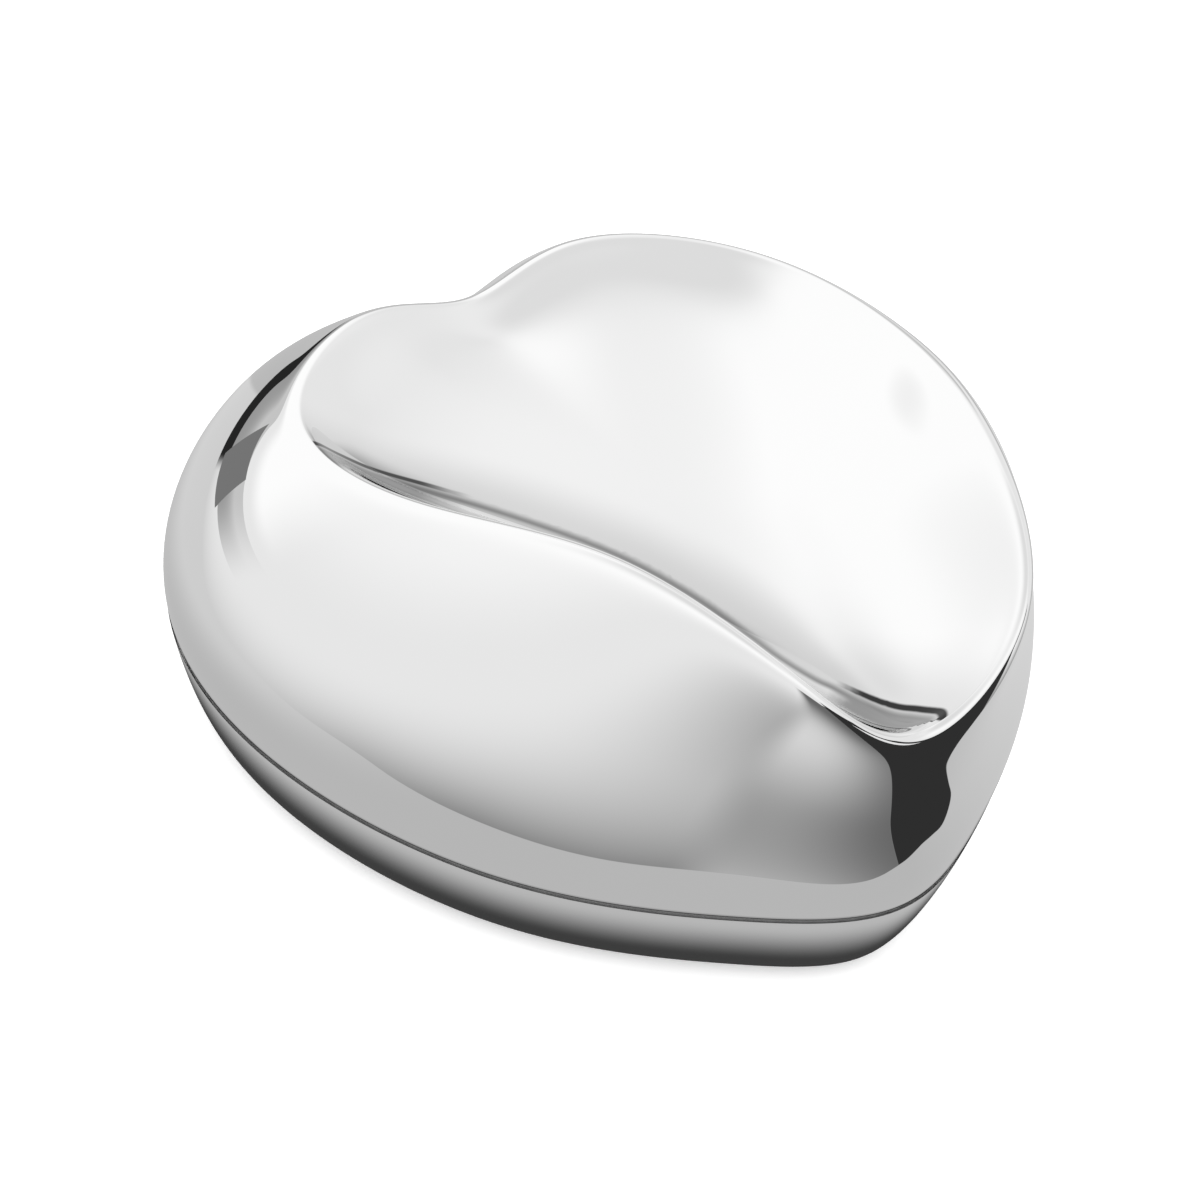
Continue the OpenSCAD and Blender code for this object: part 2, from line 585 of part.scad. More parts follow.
// ---- Comb ------------------------------------------------------------------------------------
tip_gap = 0.1;
comb_x0 = axis_x + cyl_r + pin_out + tip_gap;
comb_back = tooth_long + 6;
comb_y1 = cyl_y1 - 1.2;
comb_y0 = comb_y1 - comb_pitch * comb_teeth;
slot = 0.22;
comb_screw_len = 4.5;
function tooth_len(i) = tooth_short + (tooth_long - tooth_short) * i / (comb_teeth - 1);
comb_z = axis_z - comb_t / 2;
comb_screw_places = [[comb_x0 + tooth_long + 3, comb_y1 - 3.5], [comb_x0 + tooth_long + 3, comb_y0 + 3.5]];
module comb() {
    color("lightsteelblue") difference() {
        translate([comb_x0, comb_y0, comb_z]) cube([comb_back, comb_y1 - comb_y0, comb_t]);
        for (i = [1:comb_teeth - 1]) translate([comb_x0 - 1, comb_y1 - comb_pitch * i - slot / 2, comb_z - 1])
            cube([tooth_len(i) + 1, slot, comb_t + 2]);
        for (p = comb_screw_places) bore(screw_r + screw_gap, p, comb_z, comb_z + comb_t);
    }
}
module comb_block() {
    x0 = comb_x0 + tooth_long + 0.6;
    color("gold") difference() {
        translate([x0, comb_y0 - 1, bed_z1]) cube([comb_x0 + comb_back - x0, comb_y1 - comb_y0 + 2, comb_z - bed_z1]);
        for (p = comb_screw_places) bore(screw_r + screw_gap, p, comb_z - comb_screw_len, comb_z);
    }
}
module comb_screws() {
    color("silver") for (p = comb_screw_places) translate([p[0], p[1], 0]) difference() {
        union() {
            translate([0, 0, comb_z - comb_screw_len]) cylinder(r = screw_r, h = comb_screw_len + comb_t);
            translate([0, 0, comb_z + comb_t]) cylinder(r = 1.9, h = 1);
        }
        translate([-2, -0.25, comb_z + comb_t + 0.6]) cube([4, 0.5, 1]);
    }
}
// Lead weights under the tips of the long, low teeth
module bass_weights() {
    color("dimgray") for (i = [comb_teeth / 2:comb_teeth - 1])
        translate([comb_x0 + 1, note_y(i) - comb_pitch * 0.3, comb_z - 0.5 - 0.08 * i]) cube([2.2, comb_pitch * 0.6, 0.5 + 0.08 * i]);
}

// ---- Stop lever --------------------------------------------------------------------------------
// The lid's pad presses the lever's upright, and its finger then rises among the fan's blades
boss_r = 1.5;
boss_x = 11;
boss_top = skin_point(lid_net(lid_z0), 4.85, 1.32)[2] - wall;
boss_z0 = boss_top - 4;
fan_z0 = gov_top - 0.6 - fan_h;
lever_t = 1.4;
lever_z1 = fan_z0 - 0.5;
lever_z0 = lever_z1 - 1.6;
lever_axis = [worm_x + 8, wheel_y, (lever_z0 + lever_z1) / 2];
finger_x = worm_x + fan_r - 1.4;
module stop_lever() {
    color("silver") difference() {
        union() {
            translate([finger_x, wheel_y - lever_t / 2, lever_z0]) cube([boss_x + 1 - finger_x, lever_t, 1.6]);
            translate([boss_x - 1, wheel_y - lever_t / 2, lever_z0]) cube([2, lever_t, boss_z0 - 0.4 - lever_z0]);
        }
        translate([lever_axis[0], wheel_y + 5, lever_axis[2]]) rotate([90, 0, 0]) cylinder(r = shaft_r + run, h = 10);
    }
}
module stop_pivot() {
    ear_y = wheel_y + lever_t / 2 + 0.3;
    color("gold") {
        translate([lever_axis[0] - 1.4, ear_y, bed_z1]) cube([2.8, 1.2, lever_z1 + 0.4 - bed_z1]);
        translate([lever_axis[0], ear_y + 0.2, lever_axis[2]]) rotate([90, 0, 0]) cylinder(r = shaft_r, h = lever_t + 0.9);
    }
}

lid_shell();
lid_boss();
base_shell();
bottom_panel();
locating_ring();
pads();
standoffs();
bedplate();
bedplate_screws();
winding_key();
winding_arbor();
ratchet_wheel();
click();
click_screw();
click_spring();
spring_barrel();
barrel_cover();
mainspring();
cylinder_tube();
cylinder_pins();
cylinder_caps();
cylinder_arbor();
cylinder_pinion();
drive_gear();
bearing_post();
governor_frame();
governor_wheel();
worm_wheel();
worm();
fan();
comb();
comb_block();
comb_screws();
bass_weights();
stop_lever();
stop_pivot();
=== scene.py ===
"""Looks of the heart-shaped wind-up music box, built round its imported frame.

The polished shells are cubic B-spline surfaces, the movement is dressed piece by piece, and every
finish is procedural. Lengths inside the classes are millimetres and become metres in the meshes.
"""

import logging
import math
from dataclasses import dataclass
from enum import Enum
from typing import Any, Iterable, Sequence

import bpy
import numpy as np
from mathutils import Matrix, Vector


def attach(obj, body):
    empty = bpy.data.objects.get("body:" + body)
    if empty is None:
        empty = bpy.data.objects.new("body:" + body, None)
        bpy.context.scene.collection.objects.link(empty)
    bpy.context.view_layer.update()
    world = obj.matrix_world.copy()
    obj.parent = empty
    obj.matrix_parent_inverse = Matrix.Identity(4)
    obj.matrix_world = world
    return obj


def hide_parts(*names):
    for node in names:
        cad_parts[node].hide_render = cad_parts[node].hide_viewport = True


MM = 0.001
DEGREES = 180.0 / math.pi
# Share of light that the polished metal reflects
SILVER = 0.86
BLACK = (0.0, 0.0, 0.0)
WHITE = (1.0, 1.0, 1.0)
# Grey levels of the finished picture run from 0 to this
TOP_LEVEL = 255.0
# Edges that turn by more than this many degrees stay sharp, in modelled shells and in solids
SHELL_CORNER = 35.0
SOLID_CORNER = 32.0
LOG = logging.getLogger("music_box")
Array = np.ndarray


# ---- Shader maths ------------------------------------------------------------------------------
class Val:
    """A number socket that builds Math nodes when it is used in an expression."""

    def __init__(self, tree: bpy.types.NodeTree, socket: bpy.types.NodeSocket) -> None:
        """Wraps one output socket of a node tree."""
        self.tree = tree
        self.socket = socket

    def _math(self, operation: str, *terms: Any) -> "Val":
        """Adds one Math node.

        Args:
            operation: Blender's name of the operation.
            terms: sockets or numbers, in order.

        Returns:
            The node's result.
        """
        node = self.tree.nodes.new("ShaderNodeMath")
        node.operation = operation
        for place, term in zip(node.inputs, terms):
            if isinstance(term, Val):
                self.tree.links.new(term.socket, place)
            else:
                place.default_value = float(term)
        return Val(self.tree, node.outputs[0])

    def __add__(self, other: Any) -> "Val":
        """Sum."""
        return self._math("ADD", self, other)

    def __radd__(self, other: Any) -> "Val":
        """Sum, reflected."""
        return self._math("ADD", other, self)

    def __sub__(self, other: Any) -> "Val":
        """Difference."""
        return self._math("SUBTRACT", self, other)

    def __rsub__(self, other: Any) -> "Val":
        """Difference, reflected."""
        return self._math("SUBTRACT", other, self)

    def __mul__(self, other: Any) -> "Val":
        """Product."""
        return self._math("MULTIPLY", self, other)

    def __rmul__(self, other: Any) -> "Val":
        """Product, reflected."""
        return self._math("MULTIPLY", other, self)

    def __truediv__(self, other: Any) -> "Val":
        """Quotient."""
        return self._math("DIVIDE", self, other)

    def __pow__(self, other: Any) -> "Val":
        """Power."""
        return self._math("POWER", self, other)

    def exponent(self) -> "Val":
        """Euler's number to the power of the value."""
        return self._math("EXPONENT", self)

    def size(self) -> "Val":
        """The value without its sign."""
        return self._math("ABSOLUTE", self)

    def arcsine(self) -> "Val":
        """Angle in degrees whose sine is the value."""
        return self._math("ARCSINE", self) * DEGREES

    def bearing(self, ahead: "Val") -> "Val":
        """Clockwise angle in degrees from straight ahead, of a place this far to the right."""
        return self._math("ARCTAN2", self, ahead) * DEGREES

    def wrapped(self) -> "Val":
        """An angle in degrees above -540, brought between -180 and 180."""
        return (self + 540.0)._math("MODULO", self + 540.0, 360.0) - 180.0

    def clip(self) -> "Val":
        """The value held between 0 and 1."""
        node = self.tree.nodes.new("ShaderNodeClamp")
        self.tree.links.new(self.socket, node.inputs[0])
        return Val(self.tree, node.outputs[0])

    def step(self, low: float, high: float) -> "Val":
        """Smooth step from 0 at low to 1 at high.

        Args:
            low: value at which the step begins.
            high: value at which it ends.

        Returns:
            The stepped value.
        """
        node = self.tree.nodes.new("ShaderNodeMapRange")
        node.interpolation_type = "SMOOTHSTEP"
        self.tree.links.new(self.socket, node.inputs["Value"])
        node.inputs["From Min"].default_value = low
        node.inputs["From Max"].default_value = high
        return Val(self.tree, node.outputs["Result"])


def feed(tree: bpy.types.NodeTree, place: bpy.types.NodeSocket, value: Any) -> None:
    """Links a value or an output to a node's input, or sets the input to a plain value."""
    if isinstance(value, Val):
        tree.links.new(value.socket, place)
    elif isinstance(value, bpy.types.NodeSocket):
        tree.links.new(value, place)
    else:
        place.default_value = value


def blend(first: Any, second: Any, share: Val) -> Val:
    """A value moved by a share of the way from the first to the second."""
    return first + (second - first) * share


class Bench:
    """One material's node tree with short ways to add nodes."""

    def __init__(self, name: str) -> None:
        """Makes an empty material with a Principled shader."""
        self.material = bpy.data.materials.new(name)
        self.material.use_nodes = True
        self.tree = self.material.node_tree
        self.tree.nodes.clear()
        out = self.tree.nodes.new("ShaderNodeOutputMaterial")
        self.skin = self.tree.nodes.new("ShaderNodeBsdfPrincipled")
        self.tree.links.new(self.skin.outputs[0], out.inputs["Surface"])

    def node(self, kind: str, settings: dict[str, Any] | None = None, **inputs: Any) -> bpy.types.Node:
        """Adds a node.

        Args:
            kind: the node's type.
            settings: properties set before the sockets.
            inputs: values or links, by socket name with spaces written as underscores.

        Returns:
            The node.
        """
        made = self.tree.nodes.new(kind)
        for key, value in (settings or {}).items():
            setattr(made, key, value)
        for key, value in inputs.items():
            feed(self.tree, made.inputs[key.replace("_", " ")], value)
        return made

    def attribute(self, name: str) -> Val:
        """The number that the mesh's points hold under this name."""
        made = self.node("ShaderNodeAttribute", {"attribute_name": name})
        return Val(self.tree, made.outputs["Fac"])

    def coords(self, scale: Sequence[float] = (1.0, 1.0, 1.0)) -> bpy.types.NodeSocket:
        """Object coordinates in millimetres, stretched along the axes.

        Args:
            scale: factor for each axis after the change to millimetres.

        Returns:
            The vector socket.
        """
        place = self.node("ShaderNodeTexCoord").outputs["Object"]
        factors = tuple(1000.0 * s for s in scale)
        return self.node("ShaderNodeMapping", Vector=place, Scale=factors).outputs[0]

    def noise(self, place: bpy.types.NodeSocket, scale: float, detail: float = 2.0) -> Val:
        """Soft noise between 0 and 1.

        Args:
            place: coordinates.
            scale: grains per millimetre.
            detail: octaves.

        Returns:
            The noise value.
        """
        made = self.node("ShaderNodeTexNoise", Vector=place, Scale=scale, Detail=detail)
        return Val(self.tree, made.outputs[0])

    def mix(self, factor: Val, first: Any, second: Any) -> bpy.types.NodeSocket:
        """Colour between two colours.

        Args:
            factor: 0 gives the first colour.
            first: RGB or a colour socket.
            second: RGB or a colour socket.

        Returns:
            The colour socket.
        """
        made = self.node("ShaderNodeMix", {"data_type": "RGBA"})
        feed(self.tree, made.inputs[0], factor)
        for place, colour in zip(made.inputs[6:8], (first, second)):
            linked = isinstance(colour, bpy.types.NodeSocket)
            feed(self.tree, place, colour if linked else (*colour, 1.0))
        return made.outputs[2]

    def bump(self, height: Val, distance: float) -> None:
        """Feeds a relief, which is height times distance in millimetres, into the normal."""
        made = self.node("ShaderNodeBump", Strength=1.0, Distance=distance * MM, Height=height)
        self.set("Normal", made.outputs[0])

    def set(self, name: str, value: Any) -> None:
        """Sets or links a socket of the Principled shader."""
        feed(self.tree, self.skin.inputs[name], value)

    def emit(self, shown: Any) -> None:
        """Turns the shader into a plain light that reflects nothing."""
        self.set("Base Color", (*BLACK, 1.0))
        self.set("Specular IOR Level", 0.0)
        self.set("Emission Color", shown)
        self.set("Emission Strength", 1.0)


@dataclass(frozen=True)
class Turn:
    """A soft rise of a value between two angles or lengths."""

    low: float
    high: float

    def of(self, value: Val) -> Val:
        """0 at low and 1 at high, whichever way round they lie."""
        if self.low < self.high:
            return value.step(self.low, self.high)
        return 1.0 - value.step(self.high, self.low)


@dataclass(frozen=True)
class Band:
    """A stretch of a value with a soft start and a soft end."""

    rise: Turn
    fall: Turn

    def of(self, value: Val) -> Val:
        """1 inside the stretch and 0 outside it."""
        return self.rise.of(value) * self.fall.of(value)


@dataclass(frozen=True)
class PaintedCreaseShade:
    """Painted shade round the fold under the ridge, by millimetres past the place where the fold
    starts. The lid's colour is darkened where the polished metal shows dark reflections.

    Depth, line and dusk are the strengths of the three painted shades, and deep, thin and wide are
    their places. Shallow is where the painted depth ends away from the fold's two ends.
    """

    depth: float = 0.66
    deep: Band = Band(Turn(-0.1, 1.5), Turn(6.5, 4.0))
    shallow: Turn = Turn(2.6, 1.3)
    line: float = 0.95
    thin: Band = Band(Turn(-0.75, -0.35), Turn(0.6, 0.2))
    dusk: float = 0.2
    wide: Band = Band(Turn(-9.0, -0.6), Turn(2.2, 0.6))

    def kept(self, bench: Bench) -> Val:
        """Share of the metal's colour that the painted shade keeps.

        Three painted shades lie over each other: the fold's painted depth, which is narrower away from
        the fold's two ends, the thin painted dark line where the fold starts, and a faint painted dusk
        on the dish before it.

        Args:
            bench: the material, on a skin with the attributes crease and fold_shade.

        Returns:
            The share.
        """
        crease, fold_shade = bench.attribute("crease"), bench.attribute("fold_shade")
        reach = fold_shade + (1.0 - fold_shade) * self.shallow.of(crease)
        depth = self.deep.of(crease) * reach * self.depth
        line = self.thin.of(crease) * fold_shade * self.line
        dusk = self.wide.of(crease) * self.dusk
        return (1.0 - depth) * (1.0 - line) * (1.0 - dusk)


@dataclass(frozen=True)
class Polish:
    """Mirror-polished metal with the faintest unevenness of hand polishing."""

    name: str
    colour: tuple[float, float, float]
    roughness: float
    crease: PaintedCreaseShade | None = None

    def material(self) -> bpy.types.Material:
        """Builds the material: soft clouds of roughness over a clean mirror, and any painted shade."""
        bench = Bench(self.name)
        cloud = bench.noise(bench.coords(), 0.06, 3.0)
        hair = bench.noise(bench.coords((0.15, 1.0, 3.0)), 1.6, 2.0)
        bench.set("Metallic", 1.0)
        colour = bench.mix(cloud, tuple(c * 0.985 for c in self.colour), self.colour)
        if self.crease:
            # Painted shade: the colour darkens towards black round the fold
            colour = bench.mix(self.crease.kept(bench), BLACK, colour)
        bench.set("Base Color", colour)
        bench.set("Roughness", (cloud * 0.4 + hair * 0.2 + 0.7) * self.roughness)
        return bench.material


@dataclass(frozen=True)
class Worked:
    """Metal with tool marks: brushed, turned, ground or cast.

    Swing is how far the roughness varies, grain crowds the marks along the three axes, and depth is
    the height of their relief in millimetres.
    """

    name: str
    colour: tuple[float, float, float]
    dull: tuple[float, float, float]
    roughness: float
    swing: float
    grain: tuple[float, float, float]
    depth: float
    metallic: float = 1.0

    def material(self) -> bpy.types.Material:
        """Builds the material: stretched grain in colour, roughness and relief, with patches."""
        bench = Bench(self.name)
        lines = bench.noise(bench.coords(self.grain), 3.0, 3.0)
        patch = bench.noise(bench.coords(), 0.22, 3.0)
        bench.set("Metallic", self.metallic)
        clean = (lines * 0.4 + patch * 0.6).step(0.25, 0.75)
        bench.set("Base Color", bench.mix(clean, self.dull, self.colour))
        rough = lines * 0.6 + patch * 0.4 - 0.5
        bench.set("Roughness", rough * self.swing + self.roughness)
        bench.bump(lines, self.depth)
        return bench.material


@dataclass(frozen=True)
class Rubber:
    """Matt moulded rubber."""

    name: str
    colour: tuple[float, float, float]

    def material(self) -> bpy.types.Material:
        """Builds the material: fine pores and slightly paler worn patches."""
        bench = Bench(self.name)
        pores = bench.noise(bench.coords(), 6.0, 2.0)
        worn = bench.noise(bench.coords(), 0.5, 2.0)
        paler = tuple(c * 1.5 + 0.01 for c in self.colour)
        bench.set("Base Color", bench.mix(worn.step(0.4, 0.8), self.colour, paler))
        bench.set("Roughness", 0.7 + pores * 0.2)
        bench.bump(pores, 0.03)
        return bench.material


def grey(level: float) -> tuple[float, float, float]:
    """A grey of this linear level."""
    return (level, level, level)


# Grain without a direction
EVEN = (1.0, 1.0, 1.0)


class Finish(Enum):
    """Every finish on the music box."""

    POLISHED = Polish("polished_steel", grey(SILVER), 0.006)
    # The lid's polish, with painted shade round the fold and on the joint's edge
    CREASED = Polish("polished_lid_painted_shade", grey(SILVER), 0.006, PaintedCreaseShade())
    PANEL = Worked("panel_steel", grey(0.55), grey(0.44), 0.32, 0.12, (0.2, 3.0, 3.0), 0.012)
    DARK = Worked("dark_steel", grey(0.035), grey(0.02), 0.55, 0.1, EVEN, 0.01)
    PAD = Rubber("pad_rubber", grey(0.03))
    BRASS = Worked(
        "movement_brass", (0.80, 0.60, 0.30), (0.70, 0.50, 0.22), 0.28, 0.14, (2.0, 0.3, 2.0), 0.008,
    )
    GEAR = Worked("gear_brass", (0.84, 0.64, 0.33), (0.74, 0.54, 0.25), 0.24, 0.12, EVEN, 0.006)
    STEEL = Worked(
        "screw_steel", (0.62, 0.62, 0.63), (0.52, 0.52, 0.54), 0.22, 0.12, (2.0, 2.0, 0.4), 0.006,
    )
    SPRING = Worked(
        "spring_steel", (0.16, 0.20, 0.34), (0.10, 0.12, 0.20), 0.25, 0.1, (2.0, 2.0, 0.3), 0.005,
    )
    COMB = Worked(
        "comb_steel", (0.60, 0.62, 0.65), (0.50, 0.52, 0.56), 0.24, 0.12, (0.3, 4.0, 4.0), 0.008,
    )
    CAST = Worked("block_iron", (0.10, 0.10, 0.105), (0.07, 0.07, 0.075), 0.6, 0.2, EVEN, 0.05, 0.3)
    LEAD = Worked("lead", (0.22, 0.23, 0.25), (0.14, 0.15, 0.17), 0.5, 0.2, EVEN, 0.03)

    def dress(self, thing: bpy.types.Object) -> None:
        """Puts this finish, made once, on an object."""
        made = bpy.data.materials.get(self.value.name) or self.value.material()
        thing.data.materials.clear()
        thing.data.materials.append(made)


# ---- Meshes --------------------------------------------------------------------------------------
def stack_mesh(
    name: str, rings: Array, start_pole: bool, end_pole: bool, loop: bool = False
) -> bpy.types.Object:
    """Makes a mesh of rings laid one on the next.

    Vertex k * n + c is column c of ring k. Each quad joins columns c and c + 1 of rings k and
    k + 1. A pole closes an end ring with a fan to its mean point, and loop joins the last ring to
    the first. Faces are turned over as a whole if the volume they enclose comes out negative.

    Args:
        name: the object's name.
        rings: points in millimetres, shape (rings, columns, 3).
        start_pole: closes the first ring.
        end_pole: closes the last ring.
        loop: joins the last ring to the first.

    Returns:
        The object.
    """
    count, cols = rings.shape[:2]
    points = rings.reshape(-1, 3)
    k = np.arange(count if loop else count - 1)[:, None] * cols
    after = (k + cols) % (count * cols)
    c = np.arange(cols)[None, :]
    nxt = (c + 1) % cols
    quads = np.stack([k + c, k + nxt, after + nxt, after + c], axis=-1).reshape(-1, 4)
    tris = np.zeros((0, 3), dtype=np.int64)
    for closed, first, flip in ((start_pole, 0, True), (end_pole, (count - 1) * cols, False)):
        if closed:
            points = np.vstack([points, points[first : first + cols].mean(axis=0)])
            a, b = first + np.arange(cols), first + (np.arange(cols) + 1) % cols
            pole = np.full(cols, len(points) - 1)
            tris = np.vstack([tris, np.stack([b, a, pole] if flip else [a, b, pole], axis=-1)])
    q = points[quads]
    t = points[tris]
    corner = (
        np.einsum("ij,ij->i", q[:, 0], np.cross(q[:, 1], q[:, 2]))
        + np.einsum("ij,ij->i", q[:, 0], np.cross(q[:, 2], q[:, 3]))
    ).sum()
    corner += np.einsum("ij,ij->i", t[:, 0], np.cross(t[:, 1], t[:, 2])).sum()
    if corner < 0:
        quads, tris = quads[:, ::-1], tris[:, ::-1]
    return face_mesh(name, points, [quads, tris])


def face_mesh(name: str, points: Array, groups: Iterable[Array]) -> bpy.types.Object:
    """Makes a smooth-shaded mesh object from arrays.

    Args:
        name: the object's name.
        points: vertices in millimetres, shape (n, 3).
        groups: arrays of faces, each of shape (m, corners).

    Returns:
        The object, linked to the scene.
    """
    faces = [g for g in groups if len(g)]
    sizes = np.concatenate([np.full(len(g), g.shape[1]) for g in faces])
    corners = np.concatenate([g.reshape(-1) for g in faces])
    mesh = bpy.data.meshes.new(name)
    mesh.vertices.add(len(points))
    mesh.vertices.foreach_set("co", (points * MM).astype(np.float32).reshape(-1))
    mesh.loops.add(len(corners))
    mesh.loops.foreach_set("vertex_index", corners.astype(np.int32))
    mesh.polygons.add(len(sizes))
    starts = np.concatenate([[0], np.cumsum(sizes)[:-1]])
    mesh.polygons.foreach_set("loop_start", starts.astype(np.int32))
    mesh.polygons.foreach_set("loop_total", sizes.astype(np.int32))
    mesh.update(calc_edges=True)
    mesh.validate()
    mesh.shade_smooth()
    mesh.set_sharp_from_angle(angle=math.radians(SHELL_CORNER))
    thing = bpy.data.objects.new(name, mesh)
    bpy.context.scene.collection.objects.link(thing)
    return thing


def put_values(thing: bpy.types.Object, name: str, values: Array, pole: float) -> None:
    """Stores one number per point of a stacked mesh, and the same one at each of its poles."""
    layer = thing.data.attributes.new(name, "FLOAT", "POINT")
    poles = [pole] * (len(thing.data.vertices) - values.size)
    filled = np.concatenate([values.reshape(-1), poles])
    layer.data.foreach_set("value", filled.astype(np.float32))


def curve_through(points: Sequence[Sequence[float]], places: Array, closed: bool) -> Array:
    """Catmull-Rom curve: the slope at each point is half its neighbours' gap.

    Args:
        points: what the curve passes through.
        places: where to take it, counted in points from the first.
        closed: joins the last point to the first.

    Returns:
        One point of the curve for each place.
    """
    through = np.array(points, dtype=float)
    count = len(through)
    i = np.floor(places).astype(int)
    f = (places - i)[:, None]
    near = [(i + k) % count if closed else np.clip(i + k, 0, count - 1) for k in (-1, 0, 1, 2)]
    p0, p1, p2, p3 = (through[k] for k in near)
    m1, m2 = (p2 - p0) / 2, (p3 - p1) / 2
    return (
        (2 * f**3 - 3 * f**2 + 1) * p1 + (f**3 - 2 * f**2 + f) * m1
        + (3 * f**2 - 2 * f**3) * p2 + (f**3 - f**2) * m2
    )


# ---- The heart's surface ---------------------------------------------------------------------
@dataclass
class Heart:
    """The two skins as cubic B-spline surfaces over rings through a few named points."""

    half_seam: tuple[tuple[float, ...], ...] = (
        (0, -48), (16, -41), (34.5, -23.5), (45, 5), (39, 33.5), (18, 49), (0, 45.5),
    )
    half_crest: tuple[tuple[float, ...], ...] = (
        (0, -47.5, 37), (14, -44, 46.5), (23.5, -23.5, 51.5), (31.5, 1, 45),
        (30, 24, 40), (14, 35, 40), (0, 34.5, 37.5),
    )
    seam_z: float = 11.8
    seam_gap: float = 0.4
    dish_z: float = 35.0
    dish_y: float = 2.0
    bulge_out: float = 1.8
    bulge_up: float = 5.3
    flank_in: float = 0.16
    flank_up: float = 0.59
    ridge_out: float = 2.0
    ridge_drop: float = 1.6
    ridge_in: float = 3.4
    dish_drop: float = 3.3
    dish_near: float = 0.4
    dish_far: float = 0.75
    foot_h: float = 1.0
    tuck_in: float = 5.5
    tuck_near: float = 0.14
    tuck_low: float = 0.6
    tuck_drop: float = 0.26
    tuck_rise: float = 1.0

    @staticmethod
    def controls(half: Sequence[Sequence[float]]) -> Array:
        """Control points of the closed cubic B-spline through a half ring and its mirror image.

        A closed cubic B-spline passes at its knots through (before + 4 own + after) / 6, so the
        controls solve that circulant system for the given points.

        Args:
            half: tip, five points of the right side, and cleft.

        Returns:
            Twelve control points.
        """
        right = np.array(half, dtype=float)
        left = right[1:-1][::-1].copy()
        left[:, 0] *= -1
        points = np.vstack([right, left])
        eye = np.eye(len(points))
        system = (4 * eye + np.roll(eye, 1, axis=0) + np.roll(eye, -1, axis=0)) / 6
        return np.linalg.solve(system, points)

    def __post_init__(self) -> None:
        """Works out the control rings and the outward directions in plan."""
        self.seam = self.controls(self.half_seam)
        self.crest = self.controls(self.half_crest)
        self.dish = np.array([0.0, self.dish_y])
        along = np.roll(self.seam, -1, axis=0) - np.roll(self.seam, 1, axis=0)
        out = np.column_stack([along[:, 1], -along[:, 0]])
        self.out = out / np.linalg.norm(out, axis=1, keepdims=True)
        away = self.crest[:, :2] - self.dish
        self.away = away / np.linalg.norm(away, axis=1, keepdims=True)

    def lid_net(self) -> Array:
        """Nine control rows from the joint line over the crest to the middle of the dish."""
        z0 = self.seam_z + self.seam_gap / 2
        seam, crest, z = self.seam, self.crest[:, :2], self.crest[:, 2]

        def row(plan: Array, height: Any) -> Array:
            """One control row from plan places and heights."""
            return np.column_stack([plan, np.broadcast_to(height, len(plan))])

        return np.array([
            row(seam, z0),
            row(seam + self.bulge_out * self.out, z0 + self.bulge_up),
            row(seam * (1 - self.flank_in) + crest * self.flank_in, z0 + self.flank_up * (z - z0)),
            row(crest + self.ridge_out * self.out, z - self.ridge_drop),
            self.crest,
            row(crest - self.ridge_in * self.away, z - self.dish_drop),
            row(crest * (1 - self.dish_near) + self.dish * self.dish_near, self.dish_z),
            row(crest * (1 - self.dish_far) + self.dish * self.dish_far, self.dish_z),
            row(np.tile(self.dish, (len(seam), 1)), self.dish_z),
        ])

    def base_net(self) -> Array:
        """Four control rows from the joint line down and in to the underside."""
        z0 = self.seam_z - self.seam_gap / 2
        steps = (
            (0.0, z0),
            (self.tuck_near, z0 - self.tuck_drop * (z0 - self.foot_h)),
            (self.tuck_low, self.foot_h + self.tuck_rise),
            (1.0, self.foot_h),
        )
        return np.array([
            np.column_stack([self.seam - share * self.tuck_in * self.out, np.full(len(self.seam), z)])
            for share, z in steps
        ])

    @staticmethod
    def ring_weights(count: int, t: Array) -> Array:
        """Uniform closed cubic B-spline weights of each control at each parameter.

        With f the part of t past a control, the four weights are (1-f)^3, 3f^3-6f^2+4,
        -3f^3+3f^2+3f+1 and f^3, each over 6.

        Args:
            count: number of control points.
            t: parameters in ring steps.

        Returns:
            Weights of shape (len(t), count).
        """
        whole = np.floor(t).astype(int)
        f = t - whole
        weights = np.zeros((len(t), count))
        parts = ((1 - f) ** 3, 3 * f**3 - 6 * f**2 + 4, -3 * f**3 + 3 * f**2 + 3 * f + 1, f**3)
        for step, part in enumerate(parts):
            np.add.at(weights, (np.arange(len(t)), (whole - 1 + step) % count), part / 6)
        return weights

    @staticmethod
    def row_weights(count: int, s: Array) -> Array:
        """Clamped cubic B-spline weights by the Cox and de Boor recurrence.

        Args:
            count: number of control rows.
            s: parameters from 0 to count - 3.

        Returns:
            Weights of shape (len(s), count).
        """
        degree = 3
        last = count - degree
        knots = np.concatenate([np.zeros(degree), np.arange(last + 1), np.full(degree, last)])
        s = np.clip(s, 0, last - 1e-9)[:, None]
        basis = ((s >= knots[None, :-1]) & (s < knots[None, 1:])).astype(float)
        for d in range(1, degree + 1):
            low, high = knots[: len(knots) - 1 - d], knots[d : len(knots) - 1]
            up, down = knots[1 : len(knots) - d], knots[d + 1 :]
            nothing = np.zeros((len(s), len(low)))
            left = np.divide(s - low, high - low, out=nothing.copy(), where=high > low)
            right = np.divide(down - s, down - up, out=nothing, where=down > up)
            basis = left * basis[:, :-1] + right * basis[:, 1:]
        return basis

    def surface(self, net: Array, s: Array, t: Array) -> Array:
        """Points of a net's surface on a grid of parameters."""
        rows, columns = self.row_weights(len(net), s), self.ring_weights(net.shape[1], t)
        return np.einsum("sk,kjc,tj->stc", rows, net, columns)

    def around(self, cols: int) -> Array:
        """Even ring parameters for this many columns, from the tip round to the tip."""
        return np.arange(cols) * len(self.seam) / cols

    def outline(self, inset: float, cols: int) -> Array:
        """Plan points of the joint line moved inwards, as the solids move it."""
        weights = self.ring_weights(len(self.seam), self.around(cols))
        return weights @ (self.seam - inset * self.out)

